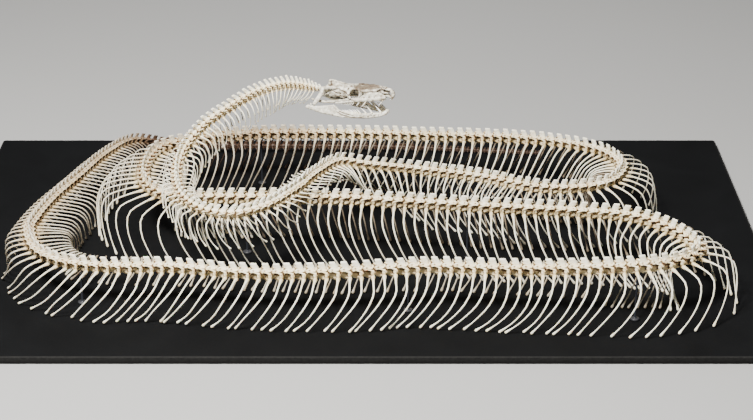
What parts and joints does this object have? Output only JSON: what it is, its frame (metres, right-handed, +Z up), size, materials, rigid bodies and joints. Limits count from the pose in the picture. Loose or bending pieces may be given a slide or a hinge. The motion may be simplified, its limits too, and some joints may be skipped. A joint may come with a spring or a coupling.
{
  "type": "mounted python skeleton",
  "caption": "Long python skeleton laid in stacked S-bends with a raised head, ribs standing on a thin black board.",
  "frame": {"origin": "centre of the underside of the board", "axes": "+X along the board's long side and the way the head faces, +Y to the back row and the tail, +Z up"},
  "size_m": [1.34, 0.86, 0.2782],
  "materials": {
    "bone": "dry cleaned bone, cream white with tan and brown stain low on the vertebrae, fine grain, dull sheen",
    "tail_bone": "dry bone, browner and dirtier than the trunk, dull",
    "board": "flat sheet painted matt black",
    "rod": "thin smooth dark smoke-coloured rod"
  },
  "bodies": {
    "root": {"board": "board", "rod_1": "rod", "rod_2": "rod", "rod_3": "rod", "rod_4": "rod", "rod_5": "rod", "rod_6": "rod", "neck_01": "bone", "neck_02": "bone", "neck_03": "bone", "neck_04": "bone", "trunk_01": "bone", "trunk_02": "bone", "trunk_03": "bone", "trunk_04": "bone", "trunk_05": "bone", "trunk_06": "bone", "trunk_07": "bone", "trunk_08": "bone", "trunk_09": "bone", "trunk_10": "bone", "trunk_11": "bone", "trunk_12": "bone", "trunk_13": "bone", "trunk_14": "bone", "tail_01": "tail_bone", "tail_02": "tail_bone", "tail_03": "tail_bone", "cranium": "bone", "maxilla_left": "bone", "mandible_left": "bone", "palate_left": "bone", "quadrate_left": "bone", "maxilla_right": "bone", "mandible_right": "bone", "palate_right": "bone", "quadrate_right": "bone"}
  },
  "joints": []
}
